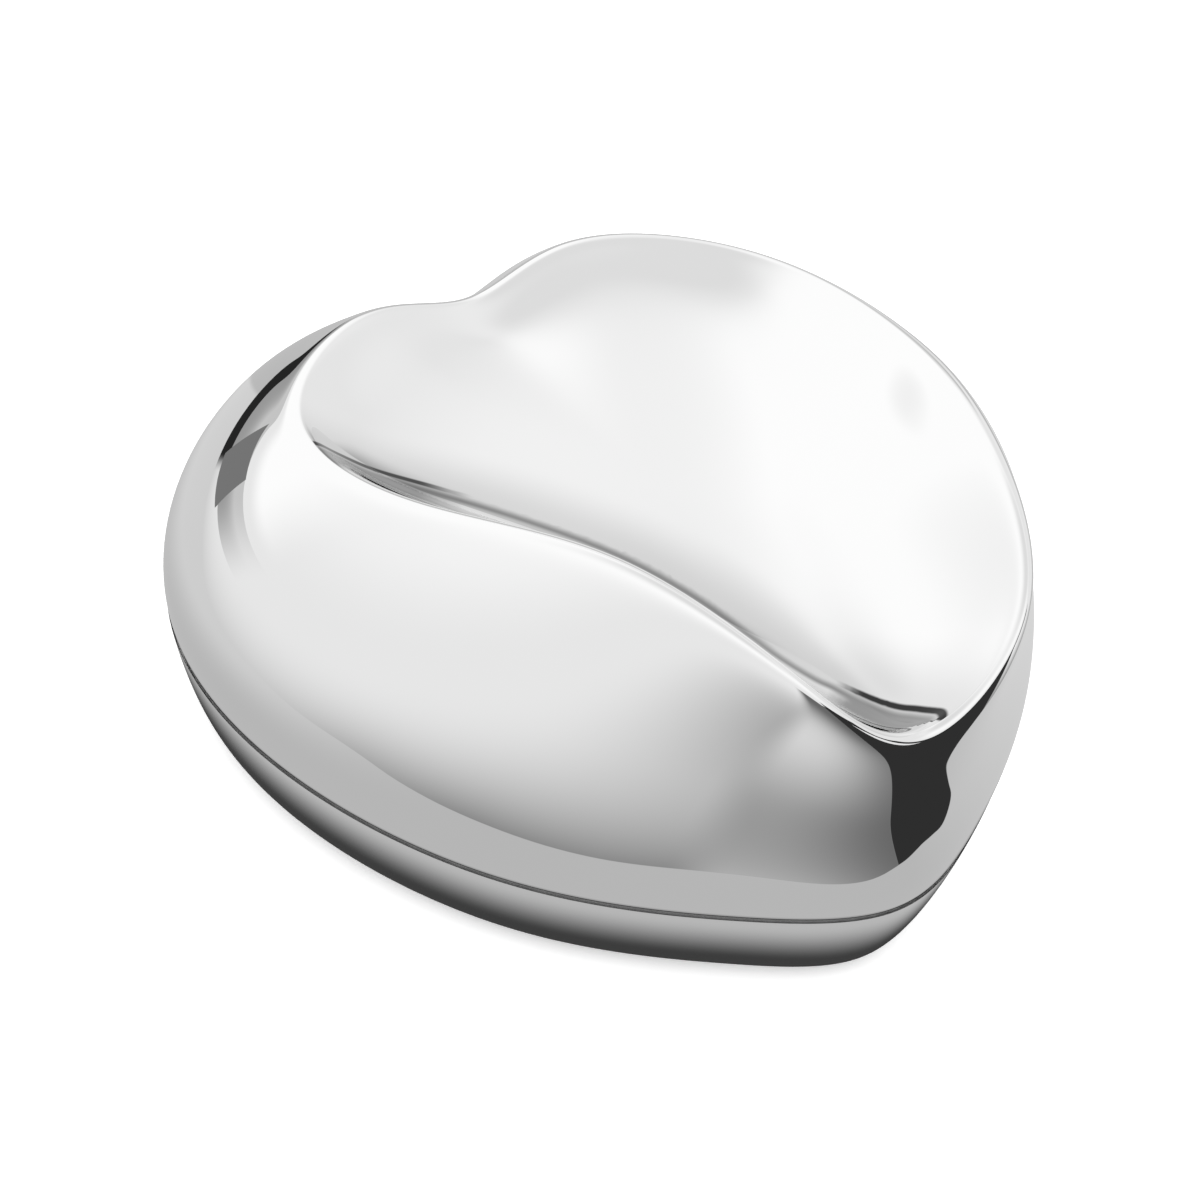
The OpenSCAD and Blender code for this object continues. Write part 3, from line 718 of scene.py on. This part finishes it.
    @staticmethod
    def normals(grid: Array, sign: float) -> Array:
        """Unit normals of a grid closed along its columns, from neighbour differences."""
        across = np.roll(grid, -1, axis=1) - np.roll(grid, 1, axis=1)
        up = np.gradient(grid, axis=0)
        v = np.cross(across, up) * sign
        size = np.linalg.norm(v, axis=-1, keepdims=True)
        return np.where(size > 1e-9, v / np.maximum(size, 1e-9), np.array([0.0, 0.0, 1.0]))


@dataclass
class Lid:
    """The lid: its polished shell and the stud under the dish."""

    heart: Heart
    wall: float = 1.2
    # Broken edge of the rim, and how near its middle stays to the corner as a share of it
    rim_edge: float = 0.18
    rim_corner: float = 0.3
    cols: int = 288
    rows: int = 150
    inner_rows: int = 60
    # Row parameter inside the crest, from which the fold's painted shade can darken the skin
    fold_row: float = 2.9
    # Plan points along the start of the fold, from the left lobe to the tip
    fold_path: tuple[tuple[float, float], ...] = (
        (-32.2, 18.6), (-29.4, 17), (-27, 14.6), (-22, 10), (-16, 2.6), (-10.5, -7), (-7, -17),
        (-5.6, -26), (-5, -30.5), (-3.6, -34), (-2, -36), (1, -41.5), (2.3, -43.6), (3.1, -46),
        (2.6, -47.3),
    )
    fold_samples: int = 240
    # Places on Y where the fold's painted shade starts to deepen and where it is full, at the lobe
    # and at the tip
    fold_lobe: tuple[float, float] = (7.0, 11.0)
    fold_tip: tuple[float, float] = (-35.6, -38.0)
    # Stands for a place far from the fold, on the dish's side
    far: float = -9.0

    def shell(self) -> bpy.types.Object:
        """One closed shell: outer skin from pole to rim, rounded rim edges, inner skin to its pole."""
        net = self.heart.lid_net()
        spans = len(net) - 3
        t = self.heart.around(self.cols)
        outer = self.heart.surface(net, np.linspace(0, spans, self.rows + 1)[:-1], t)
        base = self.heart.surface(net, np.linspace(0, spans, self.inner_rows + 1)[:-1], t)
        normal = self.heart.normals(base, 1.0)
        normal[0, :, 2] = 0.0
        normal[0] /= np.linalg.norm(normal[0], axis=-1, keepdims=True)
        inner = base - self.wall * normal
        rim, inward, up = outer[0], -normal[0], np.array([0.0, 0.0, 1.0])
        # Places across the rim and up it, in lengths of the broken edge
        near, wide = self.rim_corner, self.wall / self.rim_edge
        steps = ((0.0, 1.0), (near, near), (1.0, 0.0), (wide - 1.0, 0.0), (wide, 1.0))
        rounded = np.array([rim + (inward * a + up * b) * self.rim_edge for a, b in steps])
        rings = np.concatenate([outer[:0:-1], rounded, inner[1:]])
        skin = stack_mesh("lid_skin", rings, True, True)
        crease = np.full(rings.shape[:2], self.far)
        fold_shade = np.zeros(rings.shape[:2])
        # Painted shade on the joint: the rim's edge is painted as dark as the fold's line
        shaded_edge_rows = slice(len(outer) - 1, len(outer) + 2)
        crease[shaded_edge_rows] = 0.0
        fold_shade[shaded_edge_rows] = 1.0
        dish = outer[int(self.fold_row / spans * self.rows) :][::-1]
        crease[: len(dish)], fold_shade[: len(dish)] = self.crease(dish)
        # These attributes place the painted shade round the fold and on the joint's edge
        put_values(skin, "crease", crease, self.far)
        put_values(skin, "fold_shade", fold_shade, 0.0)
        return skin

    def crease(self, grid: Array) -> tuple[Array, Array]:
        """How far each point lies past the start of the fold under the near ridge.

        The distance in plan to the fold's path is positive on the ridge's side, by the sign of the
        cross product with the nearest stretch. The painted shade of the fold follows these distances
        and is fullest at its two ends.

        Args:
            grid: points of the dish and the ridge's inner side.

        Returns:
            Distances, and shares of the painted shade's depth.
        """
        places = np.linspace(0, len(self.fold_path) - 1, self.fold_samples)
        line = curve_through(self.fold_path, places, False)
        gap = grid[..., :2].reshape(-1, 1, 2) - line[None]
        nearest = np.argmin((gap**2).sum(-1), axis=1)
        ahead = np.gradient(line, axis=0)[nearest]
        step = gap[np.arange(len(nearest)), nearest]
        side = np.sign(ahead[:, 1] * step[:, 0] - ahead[:, 0] * step[:, 1])
        reach = np.linalg.norm(step, axis=1) * side
        past_end = (nearest == 0) | (nearest == len(line) - 1)
        reach = np.where(past_end, -np.abs(reach), reach)
        y = line[nearest, 1]
        ends = sum(
            np.clip((y - none) / (full - none), 0, 1) for none, full in (self.fold_lobe, self.fold_tip)
        )
        return reach.reshape(grid.shape[:2]), ends.reshape(grid.shape[:2])

    def build(self) -> None:
        """Builds and places the lid's pieces."""
        skin = self.shell()
        Finish.CREASED.dress(skin)
        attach(skin, "lid")
        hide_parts("lid_shell")
        Finish.POLISHED.dress(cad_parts["lid_boss"])
        LOG.info("lid: shell and stud")


@dataclass
class Base:
    """The base's polished shell. The panel, ring and pads under and in it stay as solids."""

    heart: Heart
    wall: float = 1.2
    flange_w: float = 5.5
    cols: int = 288
    rows: int = 40
    # Rows of the inner wall, next to the foot, that the flange takes the place of
    foot_rows: int = 3

    def shell(self) -> bpy.types.Object:
        """One closed ring: outer skin down and in, flange, and inner wall back up to the rim."""
        h = self.heart
        outer = h.surface(h.base_net(), np.linspace(0, 1, self.rows + 1), h.around(self.cols))
        normal = h.normals(outer, -1.0)
        inner = outer - self.wall * normal
        top = h.foot_h + self.wall
        lip = h.outline(h.tuck_in + self.flange_w, self.cols)
        lips = np.stack([np.column_stack([lip, np.full(self.cols, z)]) for z in (h.foot_h, top)])
        inner = inner[: -self.foot_rows]
        inner[:, :, 2] = np.maximum(inner[:, :, 2], top)
        inner[-1, :, 2] = top
        level = normal[0].copy()
        level[:, 2] = 0.0
        level /= np.linalg.norm(level, axis=-1, keepdims=True)
        inner[0] = outer[0] - self.wall * level
        rings = np.concatenate([outer, lips, inner[::-1]])
        return stack_mesh("base_skin", rings, False, False, loop=True)

    def build(self) -> None:
        """Builds and places the base's pieces."""
        skin = self.shell()
        Finish.POLISHED.dress(skin)
        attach(skin, "base")
        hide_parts("base_shell")
        LOG.info("base: shell")


NODE_FINISHES: dict[str, Finish] = {
    "lid_boss": Finish.POLISHED,
    "bottom_panel": Finish.PANEL,
    "locating_ring": Finish.DARK,
    "pads": Finish.PAD,
    "standoffs": Finish.BRASS,
    "bedplate": Finish.BRASS,
    "bedplate_screws": Finish.STEEL,
    "winding_key": Finish.STEEL,
    "winding_arbor": Finish.STEEL,
    "ratchet_wheel": Finish.GEAR,
    "click": Finish.STEEL,
    "click_screw": Finish.STEEL,
    "click_spring": Finish.SPRING,
    "spring_barrel": Finish.GEAR,
    "barrel_cover": Finish.BRASS,
    "mainspring": Finish.SPRING,
    "cylinder_tube": Finish.GEAR,
    "cylinder_pins": Finish.STEEL,
    "cylinder_caps": Finish.BRASS,
    "cylinder_arbor": Finish.STEEL,
    "cylinder_pinion": Finish.GEAR,
    "drive_gear": Finish.GEAR,
    "bearing_post": Finish.BRASS,
    "governor_frame": Finish.BRASS,
    "governor_wheel": Finish.STEEL,
    "worm_wheel": Finish.GEAR,
    "worm": Finish.STEEL,
    "fan": Finish.STEEL,
    "comb": Finish.COMB,
    "comb_block": Finish.CAST,
    "comb_screws": Finish.STEEL,
    "bass_weights": Finish.LEAD,
    "stop_lever": Finish.STEEL,
    "stop_pivot": Finish.BRASS,
}

# Only corners that turn by more than this many degrees are broken
FILED_CORNER = 50.0
# Widths of edges broken by filing or moulding
BROKEN_EDGES: dict[str, float] = {
    "bottom_panel": 0.1,
    "bedplate": 0.1,
    "winding_key": 0.12,
    "spring_barrel": 0.05,
    "governor_frame": 0.08,
    "comb_block": 0.12,
    "bedplate_screws": 0.05,
    "comb_screws": 0.05,
}


def dress_nodes() -> None:
    """Gives every solid its finish, smooth shading across shallow edges, and some broken edges."""
    for name, finish in NODE_FINISHES.items():
        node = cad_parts[name]
        finish.dress(node)
        node.data.shade_smooth()
        node.data.set_sharp_from_angle(angle=math.radians(SOLID_CORNER))
        if name in BROKEN_EDGES:
            edge = node.modifiers.new("broken_edge", "BEVEL")
            edge.width = BROKEN_EDGES[name] * MM
            edge.segments = 2
            edge.limit_method = "ANGLE"
            edge.angle_limit = math.radians(FILED_CORNER)
            edge.harden_normals = True
        LOG.info("%s: %s", name, finish.name)


# ---- Stage ----------------------------------------------------------------------------------------
def light(shown: float) -> float:
    """Radiance whose reflection in the polished metal shows as this grey level.

    Args:
        shown: grey level from 0 to 255 in the finished picture.

    Returns:
        Linear radiance, by the sRGB curve divided by the metal's reflectance.
    """
    share = shown / TOP_LEVEL
    linear = share / 12.92 if share <= 0.04045 else ((share + 0.055) / 1.055) ** 2.4
    return linear / SILVER


@dataclass
class Sweep:
    """The lit sweep round the box that only its reflections show: a bright table and a soft wall.

    A closed curve through a few points is the table's edge. Inside it the table reflects evenly, and
    outside it the wall starts darker and grows lighter with distance. Turns in degrees go clockwise
    from straight behind the box, and grey levels are those that the reflections show.
    """

    edge: tuple[tuple[float, float], ...] = (
        (0, -66.5), (-27, -57), (-46, -44.5), (-61, -31), (-75, -12), (-85, 4), (-87, 24), (-87, 45),
        (-80, 75), (-72, 130), (-40, 165), (20, 170), (90, 90), (95, 0), (72, -35), (46, -56),
        (37, -60), (31, -61.5), (27, -65.5), (23, -68.5), (19, -69.5), (14, -69.5), (8, -69),
    )
    columns: int = 720
    rings: int = 80
    inside_rings: int = 24
    # The innermost ring's share of the way out to the edge
    inmost: float = 0.02
    reach: float = 6000.0
    height: float = 0.12
    # Width over which the table turns into the wall
    seam: Turn = Turn(-0.15, 0.15)
    # The left side, from the front left of the box
    side: Band = Band(Turn(-115.0, -60.0), Turn(0.0, -1.0))
    # The table, paler to the right of the box and far out on its left, and dark right under it
    table: float = 182
    table_pale: float = 205
    pale_x: Turn = Turn(10.0, 70.0)
    pale_far: Turn = Turn(60.0, 95.0)
    shade: float = 60
    shade_under: Turn = Turn(-3.0, 3.5)
    # The wall, from its foot in front and on the left to its far end
    wall: float = 138
    wall_side: float = 205
    wall_far: float = 231
    wall_fade: float = 40.0
    # A dark wedge by the tip
    wedge: float = 46
    wedge_turn: Turn = Turn(142.0, 144.0)
    wedge_x: Turn = Turn(9.4, 9.8)
    # A dark slit straight behind the box, by turn and by distance
    slit: float = 36
    slit_turn: Band = Band(Turn(-16.0, -12.0), Turn(19.0, 12.0))
    slit_far: Band = Band(Turn(159.0, 161.0), Turn(239.0, 237.0))
    # A greyer stretch behind the slit that grows paler with distance
    beyond: float = 150
    beyond_end: float = 195
    beyond_turn: Band = Band(Turn(-45.0, -20.0), Turn(60.0, 30.0))
    beyond_start: Turn = Turn(237.0, 239.0)
    beyond_rise: Turn = Turn(232.0, 700.0)
    # Ahead of the tip the wall is clear, by turn to either side
    clear: Turn = Turn(145.0, 155.0)
    # A plain card far behind the left lobe
    card_ends: tuple[tuple[float, float], ...] = ((-41.0, 195.0), (-89.0, 195.0))
    card_top: float = 33.0
    card_shown: float = 116

    def lay(self, outline: Array) -> bpy.types.Object:
        """Lays the sweep: rings from the box's outline to the edge, and on from there outwards.

        The attribute past holds the distance outside the edge, negative inside it, and under the
        distance inside the box's outline.

        Args:
            outline: plan points of the box's joint line.

        Returns:
            The object.
        """
        places = np.arange(self.columns) * len(self.edge) / self.columns
        rim = curve_through(self.edge, places, True)
        size = np.linalg.norm(rim, axis=1)
        out = rim / size[:, None]
        heading = np.arctan2(rim[:, 1], rim[:, 0])
        own = np.arctan2(outline[:, 1], outline[:, 0])
        order = np.argsort(own)
        widths = np.linalg.norm(outline, axis=1)[order]
        body = np.interp(heading, own[order], widths, period=2 * math.pi)
        shares = np.linspace(self.inmost, 1.0, self.inside_rings)[:, None]
        spans = self.reach * np.linspace(0.0, 1.0, self.rings)[1:, None] ** 3
        radii = np.concatenate([shares * size, size + spans])
        level = np.full((*radii.shape, 1), self.height)
        rings = np.concatenate([radii[:, :, None] * out, level], axis=-1)
        thing = stack_mesh("reflected_table", rings, True, False)
        for name, values in (("past", radii - size), ("under", body - radii)):
            put_values(thing, name, values, values[0].mean())
        return thing

    def glow(self) -> bpy.types.Material:
        """Light of the table and wall by place, as the reflections show it."""
        bench = Bench("reflected_light")
        split = bench.node("ShaderNodeSeparateXYZ", Vector=bench.coords())
        x, y = (Val(bench.tree, split.outputs[k]) for k in (0, 1))
        past, under = bench.attribute("past"), bench.attribute("under")
        far = (x * x + y * y) ** 0.5
        turn = x.bearing(y)
        side = self.side.of(turn)
        outside = self.seam.of(past)
        foot = blend(light(self.wall), light(self.wall_side), side)
        fade = 1.0 - (past * (-1.0 / self.wall_fade)).exponent()
        wall = blend(foot, light(self.wall_far), fade)
        dark = self.wedge_turn.of(turn) * self.wedge_x.of(x)
        wall = blend(wall, light(self.wedge), dark)
        wall = blend(wall, light(self.slit), self.slit_turn.of(turn) * self.slit_far.of(far))
        paler = blend(light(self.beyond), light(self.beyond_end), self.beyond_rise.of(far))
        wall = blend(wall, paler, self.beyond_turn.of(turn) * self.beyond_start.of(far))
        pale = (self.pale_x.of(x) + side * self.pale_far.of(far)).clip()
        table = blend(light(self.table), light(self.table_pale), pale)
        table = blend(table, light(self.shade), self.shade_under.of(under))
        bench.emit(blend(table, wall, outside))
        # The world's lower half shows through the clear stretch
        bench.set("Alpha", 1.0 - self.clear.of(turn.size()) * (1.0 - dark) * outside)
        return bench.material

    def card(self, name: str, ends: Sequence[Sequence[float]], top: float, shown: float) -> None:
        """Stands a plain card far behind the box that only reflections show.

        Args:
            name: the object's name.
            ends: plan places of its two ends.
            top: height.
            shown: grey level of its reflection.
        """
        (x0, y0), (x1, y1) = ends
        corners = np.array([[x0, y0, 0.2], [x1, y1, 0.2], [x1, y1, top], [x0, y0, top]], dtype=float)
        thing = face_mesh(name, corners, [np.arange(4)[None]])
        bench = Bench(name)
        bench.emit((*grey(light(shown)), 1.0))
        thing.data.materials.append(bench.material)
        self.hide(thing)

    @staticmethod
    def hide(thing: bpy.types.Object) -> None:
        """Lets only reflections see a stage piece."""
        thing.visible_camera = False
        thing.visible_diffuse = False
        thing.visible_shadow = False
        thing.visible_transmission = False
        thing.visible_volume_scatter = False

    def build(self, outline: Array) -> None:
        """Builds the sweep and its card."""
        table = self.lay(outline)
        table.data.materials.append(self.glow())
        self.hide(table)
        self.card("reflected_card", self.card_ends, self.card_top, self.card_shown)
        LOG.info("stage: reflected table, wall and card")


@dataclass(frozen=True)
class Patch:
    """A soft patch of the reflected sky, by its lift over the horizon and its bearing."""

    shown: float
    lift: Turn | Band
    middle: float = 0.0
    sides: Turn | None = None
    share: float = 1.0

    def of(self, lift: Val, bearing: Val) -> Val:
        """1 in the patch and 0 outside it, times its share."""
        inside = self.lift.of(lift)
        if self.sides:
            inside = inside * self.sides.of((bearing - self.middle).wrapped().size())
        return inside * self.share


@dataclass
class Studio:
    """Pale floor, soft light from all round, and the camera."""

    heart: Heart
    elevation: float = 38.95
    azimuth: float = 39.62
    roll: float = 6.98
    distance: float = 884.61
    shift: tuple[float, float] = (-4.87, -2.92)
    height: float = 23.0
    focal_px: float = 8204.91
    frame_px: float = 1200.0
    sensor: float = 36.0
    clip: tuple[float, float] = (0.01, 20.0)
    floor_half: float = 3000.0
    floor_white: float = 0.9
    floor_rough: float = 0.9
    floor_glow: float = 0.45
    fill: float = 1.35
    horizon: float = 231
    patches: tuple[Patch, ...] = (
        Patch(252, Turn(0.0, 38.0)),
        Patch(221, Turn(36.0, 76.0)),
        Patch(253, Band(Turn(1.0, 5.0), Turn(62.0, 34.0)), 5.0, Turn(50.0, 28.0)),
        Patch(229, Turn(70.0, 36.0), 88.0, Turn(66.0, 30.0)),
        Patch(0, Turn(20.0, -2.0), 40.0, Turn(16.0, 8.0), 0.45),
        Patch(42, Turn(9.0, 7.5), 147.0, Turn(29.0, 27.0)),
    )
    # Below the horizon, grey levels change by these amounts for each degree down and aside
    below: Turn = Turn(-1.0, -4.0)
    below_down: float = 1.85
    below_aside: float = 0.7
    below_start: float = 66.0
    below_shown: tuple[float, float] = (102.0, 242.0)
    gamma: float = 2.2

    def camera(self) -> None:
        """Places the camera from its elevation, azimuth, roll and distance."""
        e, a, r = (math.radians(v) for v in (self.elevation, self.azimuth, self.roll))
        away = np.array([math.sin(a), math.cos(a), 0.0])
        side = np.array([math.cos(a), -math.sin(a), 0.0])
        ahead = math.cos(e) * away - math.sin(e) * np.array([0.0, 0.0, 1.0])
        up = math.sin(e) * away + math.cos(e) * np.array([0.0, 0.0, 1.0])
        side, up = math.cos(r) * side + math.sin(r) * up, -math.sin(r) * side + math.cos(r) * up
        target = np.array([0.0, 0.0, self.height]) + self.shift[0] * side + self.shift[1] * up
        place = (target - self.distance * ahead) * MM
        data = bpy.data.cameras.new("camera")
        data.sensor_width = self.sensor
        data.lens = self.focal_px / self.frame_px * self.sensor
        data.clip_start, data.clip_end = self.clip
        thing = bpy.data.objects.new("camera", data)
        bpy.context.scene.collection.objects.link(thing)
        turn = Matrix((side, up, -ahead)).transposed().to_4x4()
        thing.matrix_world = Matrix.Translation(Vector(place)) @ turn
        bpy.context.scene.camera = thing

    def floor(self) -> None:
        """Lays a wide pale floor under the pads, which is clear from below."""
        square = np.array([[-1.0, -1.0, 0.0], [1.0, -1.0, 0.0], [1.0, 1.0, 0.0], [-1.0, 1.0, 0.0]])
        thing = face_mesh("floor", square * self.floor_half, [np.arange(4)[None]])
        bench = Bench("floor_white")
        bench.set("Emission Color", (*WHITE, 1.0))
        bench.set("Emission Strength", self.floor_glow)
        bench.set("Base Color", (*grey(self.floor_white), 1.0))
        bench.set("Roughness", self.floor_rough)
        below = Val(bench.tree, bench.node("ShaderNodeNewGeometry").outputs["Backfacing"])
        bench.set("Alpha", 1.0 - below)
        thing.data.materials.append(bench.material)
        thing.visible_glossy = False

    def sky(self) -> None:
        """Soft light all round: even on matt things, and a shaded sky in reflections."""
        world = bpy.data.worlds.new("sky")
        bpy.context.scene.world = world
        world.use_nodes = True
        tree = world.node_tree
        tree.nodes.clear()
        place = tree.nodes.new("ShaderNodeTexCoord")
        split = tree.nodes.new("ShaderNodeSeparateXYZ")
        tree.links.new(place.outputs["Generated"], split.inputs[0])
        x, y, z = (Val(tree, split.outputs[k]) for k in range(3))
        lift, bearing = z.arcsine(), x.bearing(y)
        value = lift * 0.0 + light(self.horizon)
        for patch in self.patches:
            value = blend(value, light(patch.shown), patch.of(lift, bearing))
        # Below the horizon it brightens straight down and to the left of the tip
        darkest, palest = self.below_shown
        aside = (bearing - 180.0).wrapped() * self.below_aside
        level = lift * -self.below_down + aside + self.below_start
        shown = level.step(darkest, palest) * ((palest - darkest) / TOP_LEVEL) + darkest / TOP_LEVEL
        value = blend(value, shown**self.gamma / SILVER, self.below.of(lift))

        def background(strength: Any) -> bpy.types.NodeSocket:
            """White light of this strength from all round."""
            made = tree.nodes.new("ShaderNodeBackground")
            made.inputs["Color"].default_value = (*WHITE, 1.0)
            feed(tree, made.inputs["Strength"], strength)
            return made.outputs[0]

        rays = tree.nodes.new("ShaderNodeLightPath")
        mixed = tree.nodes.new("ShaderNodeMixShader")
        tree.links.new(rays.outputs["Is Glossy Ray"], mixed.inputs[0])
        tree.links.new(background(self.fill), mixed.inputs[1])
        tree.links.new(background(value), mixed.inputs[2])
        out = tree.nodes.new("ShaderNodeOutputWorld")
        tree.links.new(mixed.outputs[0], out.inputs[0])

    def build(self) -> None:
        """Builds the stage."""
        self.camera()
        self.floor()
        self.sky()
        Sweep().build(self.heart.outline(0.0, 360))
        bpy.context.scene.view_settings.view_transform = "Standard"
        LOG.info("stage: camera, floor and sky")


def main() -> None:
    """Builds every piece in order."""
    logging.basicConfig(level=logging.INFO, format="%(name)s %(message)s")
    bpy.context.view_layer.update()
    heart = Heart()
    Lid(heart).build()
    Base(heart).build()
    dress_nodes()
    Studio(heart).build()


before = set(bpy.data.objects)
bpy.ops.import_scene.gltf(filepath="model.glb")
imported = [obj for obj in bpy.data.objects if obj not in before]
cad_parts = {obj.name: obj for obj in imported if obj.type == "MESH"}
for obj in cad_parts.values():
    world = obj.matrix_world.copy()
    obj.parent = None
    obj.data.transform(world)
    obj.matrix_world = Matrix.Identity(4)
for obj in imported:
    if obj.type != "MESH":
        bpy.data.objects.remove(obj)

if __name__ == "__main__":
    main()
